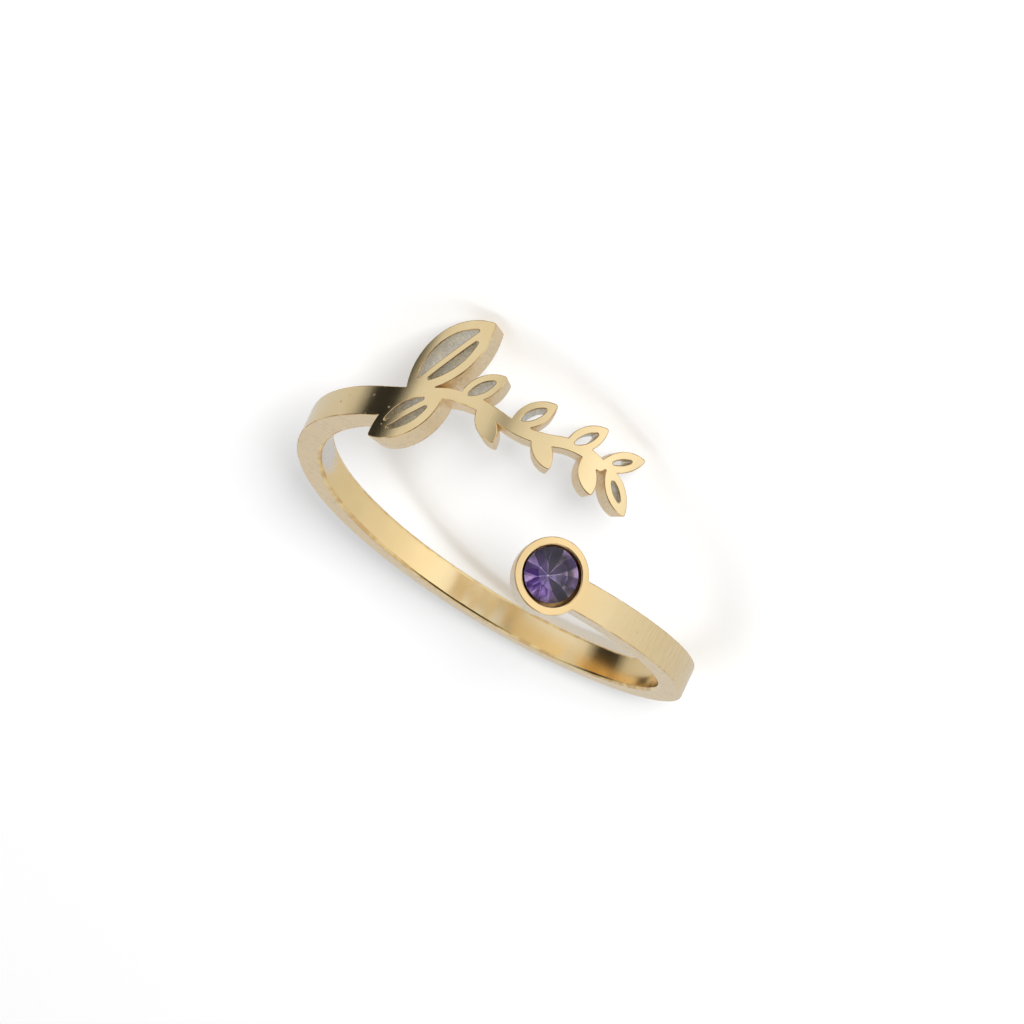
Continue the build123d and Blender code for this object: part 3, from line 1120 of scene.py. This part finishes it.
def build_plate(plate):
    """The bent plate: two broad faces, walls with rubbed edges, and the stone's pocket."""
    shapes, cuts = plate_shapes(plate)
    loops = [evened(loop) for loop in merged_loops(shapes, cuts)]
    work = PlateMesh(plate)
    levels = rub_levels(plate.sheet_thickness, plate.outer_rub, plate.inner_rub)
    outer_rings, inner_rings = [], []
    for loop in loops:
        wall = CUT_EDGE if loop_area(loop) > 0 else PIERCING
        finishes = [OUTER_RUB] * RUB_STEPS + [wall] * 2 + [INNER_RUB] * RUB_STEPS
        rings = work.add_strip(spokes_of(loop), levels, finishes)
        outer_rings.append(rings[0])
        inner_rings.append(rings[-1])
    outer_rings.append(add_pocket(work, plate))
    work.add_broad_face(outer_rings, 0.0, 1, POLISHED)
    work.add_broad_face(inner_rings, plate.sheet_thickness, -1, INSIDE)
    finishes = [
        polished_finish(plate),
        inner_finish(plate),
        cut_finish("cut edge", (0.96, 0.785, 0.53), (0.93, 0.735, 0.465), plate.satin),
        cut_finish("piercing", plate.bare_cut, (0.82, 0.75, 0.58), plate.satin - 0.04),
        rubbed_finish("rubbed outer edge", (0.97, 0.74, 0.40), (0.66, 0.44, 0.22)),
        rubbed_finish("rubbed inner edge", (1.00, 0.78, 0.40), (0.80, 0.54, 0.25)),
        pocket_painted_shade_finish(plate),
    ]
    finished_object(
        "ring_plate_rubbed", "ring_plate", laid_down(plate), finishes, work
    )


def foil_of(face, blunt, slope):
    """Number of a face's material: glass in front, and behind, the foil of its ridge or of its
    facet, whose tone is a painted reflection.
    """
    if face.calc_center_median().z > 0:
        return 0
    if blunt:
        return 1 + RIDGE_FOIL
    is_long = math.acos(-face.normal.z) < slope * (LONG_BACK.slope + SHORT_BACK.slope) / 2
    row, foil = (LONG_BACK, LONG_FACET_PAINTED_REFLECTION) if is_long else (SHORT_BACK, SHORT_FACET_PAINTED_REFLECTION)
    turn = math.degrees(math.atan2(face.normal.y, face.normal.x))
    # The facet's place round the stone picks its painted dark, mid or bright reflection
    return 1 + foil[round((turn - row.start) / (360 / row.count)) % row.count]


def build_stone(plate, stone):
    """The cut stone, with a glass front and a foiled back whose facets carry painted reflections.
    """
    slopes = {
        "crown": math.atan2(stone.crown_height, stone.radius - stone.table_radius),
        "pavilion": math.atan2(stone.pavilion_depth, stone.radius),
    }
    work = bmesh.new()
    turns = [2 * math.pi * i / stone.sides for i in range(stone.sides)]
    corners = [Vector((math.cos(turn), math.sin(turn), 0.0)) * stone.radius for turn in turns]
    crown_top = Vector((0.0, 0.0, stone.girdle_height + stone.crown_height))
    low = [work.verts.new(place - Vector((0.0, 0.0, stone.pavilion_depth))) for place in corners]
    high = [work.verts.new(place + crown_top) for place in corners]
    work.faces.new(low[::-1])
    work.faces.new(high)
    for i in range(stone.sides):
        j = (i + 1) % stone.sides
        work.faces.new([low[i], low[j], high[j], high[i]])
    for row in FACETS:
        up, level = (1, stone.girdle_height) if row.side == "crown" else (-1, 0.0)
        slope = row.slope * slopes[row.side]
        for number in range(row.count):
            turn = math.radians(row.start) + number * 2 * math.pi / row.count
            outward = Vector((math.cos(turn), math.sin(turn), 0.0))
            normal = outward * math.sin(slope) + Vector((0.0, 0.0, up * math.cos(slope)))
            place = outward * stone.radius + Vector((0.0, 0.0, level))
            cut = bmesh.ops.bisect_plane(
                work,
                geom=work.verts[:] + work.edges[:] + work.faces[:],
                dist=ON_PLANE,
                plane_co=place,
                plane_no=normal,
                clear_outer=True,
            )
            edges = [item for item in cut["geom_cut"] if isinstance(item, bmesh.types.BMEdge)]
            if edges:
                bmesh.ops.contextual_create(work, geom=edges)
    bmesh.ops.remove_doubles(work, verts=work.verts[:], dist=SAME_POINT)
    ridges = [edge for edge in work.edges if min(v.co.z for v in edge.verts) < BELOW_GIRDLE]
    bevel = bmesh.ops.bevel(
        work, geom=ridges, offset=stone.edge_wear, offset_type="OFFSET", segments=1, affect="EDGES"
    )
    blunt = set(bevel["faces"])
    bmesh.ops.recalc_face_normals(work, faces=work.faces[:])
    work.verts.ensure_lookup_table()
    points = [vertex.co.copy() for vertex in work.verts]
    faces = [[vertex.index for vertex in face.verts] for face in work.faces]
    # Each back facet's foil holds its painted dark, mid or bright reflection
    foils_and_painted_reflections = [foil_of(face, face in blunt, slopes["pavilion"]) for face in work.faces]
    work.free()

    along, across, outward = ways_at(plate.cup_angle)
    floor = outward * (plate.outer_radius - plate.pocket_depth) + Vector((0.0, plate.cup_rise, 0.0))
    rise = stone.floor_gap + stone.pavilion_depth
    seat = Matrix.Translation(floor) @ Matrix((along, across, outward)).transposed().to_4x4()
    seat = seat @ Matrix.Translation((stone.shift_along, stone.shift_across, rise))
    down = laid_down(plate) @ (seat @ Matrix.Rotation(stone.turn, 4, "Z"))
    finishes = [glass_finish(stone)] + [foil_finish(name, tone) for name, tone in FOIL_TONES_AND_PAINTED_REFLECTIONS]
    skin = Skin(points, points, faces, foils_and_painted_reflections, None)
    finished_object("stone_cut", "stone", down, finishes, skin)


# Stage

def add_lamp(name, place, size, power):
    """A soft light that faces the ring and doesn't show in it."""
    light = bpy.data.lights.new(name, "AREA")
    light.shape = "RECTANGLE"
    light.size, light.size_y = size
    light.energy = power
    lamp = bpy.data.objects.new(name, light)
    lamp.location = place
    lamp.visible_glossy = False
    lamp.visible_camera = False
    lamp.visible_transmission = False
    lamp.rotation_euler = (-Vector(place)).to_track_quat("-Z", "Y").to_euler()
    bpy.context.scene.collection.objects.link(lamp)


def surround_of_cards(plate, stage):
    """A world of pale cards round the ring's axis with a dark gap. The camera itself sees white."""
    world = bpy.data.worlds.new("cards round the ring")
    world.use_nodes = True
    nodes = Nodes(world.node_tree)

    def shine(strength, tone=(1.0, 1.0, 1.0)):
        node = nodes.node("ShaderNodeBackground")
        nodes.feed([node.inputs["Color"], node.inputs["Strength"]], (tone, strength))
        return node.outputs[0]

    def either(factor, one, two):
        node = nodes.node("ShaderNodeMixShader")
        nodes.feed(node.inputs, (factor, one, two))
        return node.outputs[0]

    way = nodes.node("ShaderNodeTexCoord").outputs["Generated"]
    turned = nodes.node("ShaderNodeMapping", vector_type="POINT")
    turned.inputs["Rotation"].default_value = (-plate.ring_tip, 0.0, -plate.ring_turn)
    nodes.link(way, turned.inputs["Vector"])
    parts = nodes.node("ShaderNodeSeparateXYZ")
    nodes.link(turned.outputs[0], parts.inputs[0])
    heading = nodes.maths("ARCTAN2", parts.outputs["X"], parts.outputs["Z"])
    ramp = nodes.node("ShaderNodeValToRGB")
    ramp.color_ramp.interpolation = "EASE"
    stops = ramp.color_ramp.elements
    for card in CARDS[1:-1]:
        stops.new((card.angle + 180) / 360)
    for stop, card in zip(stops, CARDS):
        stop.position = (card.angle + 180) / 360
        stop.color = (*[card.light / BRIGHTEST_CARD] * 3, 1.0)
    nodes.link(nodes.spread(heading, -math.pi, math.pi), ramp.inputs[0])
    cards = shine(stage.surround * BRIGHTEST_CARD, ramp.outputs[0])
    slant = nodes.maths("ABSOLUTE", parts.outputs["Y"])
    beyond = nodes.spread(slant, *CARDS_END, kind="SMOOTHSTEP")

    tip, turn = stage.gap_tip, stage.gap_turn
    reach = math.cos(tip)
    gap_way = Vector((reach * math.sin(turn), math.sin(tip), reach * math.cos(turn)))
    facing = nodes.node("ShaderNodeVectorMath", operation="DOT_PRODUCT")
    nodes.feed(facing.inputs, (way, laid_down(plate).to_3x3() @ gap_way))
    bounds = math.cos(stage.gap_size * GAP_SOFTNESS), math.cos(stage.gap_size)
    gap = nodes.spread(facing.outputs["Value"], *bounds, kind="SMOOTHSTEP")
    around = either(gap, either(beyond, cards, shine(stage.ends)), shine(stage.gap_light))
    seen = nodes.node("ShaderNodeLightPath").outputs["Is Camera Ray"]
    output = nodes.node("ShaderNodeOutputWorld")
    nodes.link(either(seen, around, shine(1.0)), output.inputs["Surface"])
    return world


def add_floor(stage):
    """White paper. The ring mirrors the cards alone, so it lies there without a reflection."""
    mesh = bpy.data.meshes.new("floor")
    work = bmesh.new()
    bmesh.ops.create_grid(work, x_segments=8, y_segments=8, size=FLOOR_REACH)
    work.to_mesh(mesh)
    work.free()
    mesh.materials.append(paper_finish(stage))
    floor = bpy.data.objects.new("floor", mesh)
    bpy.context.scene.collection.objects.link(floor)
    floor.visible_glossy = False
    floor.visible_transmission = False
    floor.visible_shadow = False


def add_camera(stage):
    heading, elevation, roll = stage.heading, stage.elevation, stage.roll
    reach = math.cos(elevation)
    back = Vector((reach * math.sin(heading), -reach * math.cos(heading), math.sin(elevation)))
    level = Vector((0, 0, 1)).cross(back).normalized()
    upright = back.cross(level)
    right = level * math.cos(roll) - upright * math.sin(roll)
    up = level * math.sin(roll) + upright * math.cos(roll)
    lens = bpy.data.cameras.new("camera")
    lens.lens = stage.focal_length
    lens.sensor_width = 36.0
    lens.clip_start, lens.clip_end = CAMERA_REACH
    camera = bpy.data.objects.new("camera", lens)
    place = Matrix.Translation(stage.target + back * stage.distance)
    camera.matrix_world = place @ Matrix((right, up, back)).transposed().to_4x4()
    bpy.context.scene.collection.objects.link(camera)
    bpy.context.scene.camera = camera


def build_stage(plate, stage):
    scene = bpy.context.scene
    scene.view_settings.view_transform = "Standard"
    scene.view_settings.look = "None"
    add_floor(stage)
    scene.world = surround_of_cards(plate, stage)
    add_lamp("key", KEY_PLACE, KEY_SIZE, stage.key)
    add_lamp("top", TOP_PLACE, TOP_SIZE, stage.fill)
    add_camera(stage)


# Operators and panel

class LEAFRING_OT_plate(bpy.types.Operator):
    """Build the bent plate with its band, leaf spray and cup"""

    bl_idname = "leafring.plate"
    bl_label = "Build the plate"

    def execute(self, context):
        build_plate(in_mm(context.scene.leaf_ring_plate))
        return {"FINISHED"}


class LEAFRING_OT_stone(bpy.types.Operator):
    """Build the cut stone in the cup's pocket"""

    bl_idname = "leafring.stone"
    bl_label = "Build the stone"

    def execute(self, context):
        build_stone(in_mm(context.scene.leaf_ring_plate), in_mm(context.scene.leaf_ring_stone))
        return {"FINISHED"}


class LEAFRING_OT_stage(bpy.types.Operator):
    """Set up the floor, the lights and the camera"""

    bl_idname = "leafring.stage"
    bl_label = "Set the stage"

    def execute(self, context):
        build_stage(in_mm(context.scene.leaf_ring_plate), context.scene.leaf_ring_stage)
        return {"FINISHED"}


class LEAFRING_PT_panel(bpy.types.Panel):
    """Lists the ring's sizes and the steps that build it"""

    bl_idname = "LEAFRING_PT_panel"
    bl_label = "Leaf ring"
    bl_space_type = "VIEW_3D"
    bl_region_type = "UI"
    bl_category = "Leaf ring"

    def draw(self, context):
        for group, operator in (
            ("leaf_ring_plate", "leafring.plate"),
            ("leaf_ring_stone", "leafring.stone"),
            ("leaf_ring_stage", "leafring.stage"),
        ):
            box = self.layout.box()
            settings = getattr(context.scene, group)
            for name in settings.bl_rna.properties.keys():
                if name not in ("rna_type", "name"):
                    box.prop(settings, name)
            box.operator(operator)


GROUPS = (
    ("leaf_ring_plate", LeafRingPlate),
    ("leaf_ring_stone", LeafRingStone),
    ("leaf_ring_stage", LeafRingStage),
)
STEPS = (LEAFRING_OT_plate, LEAFRING_OT_stone, LEAFRING_OT_stage)


def register():
    for name, group in GROUPS:
        bpy.utils.register_class(group)
        setattr(bpy.types.Scene, name, PointerProperty(type=group))
    for operator in STEPS:
        bpy.utils.register_class(operator)
    bpy.utils.register_class(LEAFRING_PT_panel)


def unregister():
    bpy.utils.unregister_class(LEAFRING_PT_panel)
    for operator in reversed(STEPS):
        bpy.utils.unregister_class(operator)
    for name, group in reversed(GROUPS):
        delattr(bpy.types.Scene, name)
        bpy.utils.unregister_class(group)


def main():
    register()
    bpy.ops.leafring.plate()
    bpy.ops.leafring.stone()
    bpy.ops.leafring.stage()


if __name__ == "__main__":
    main()
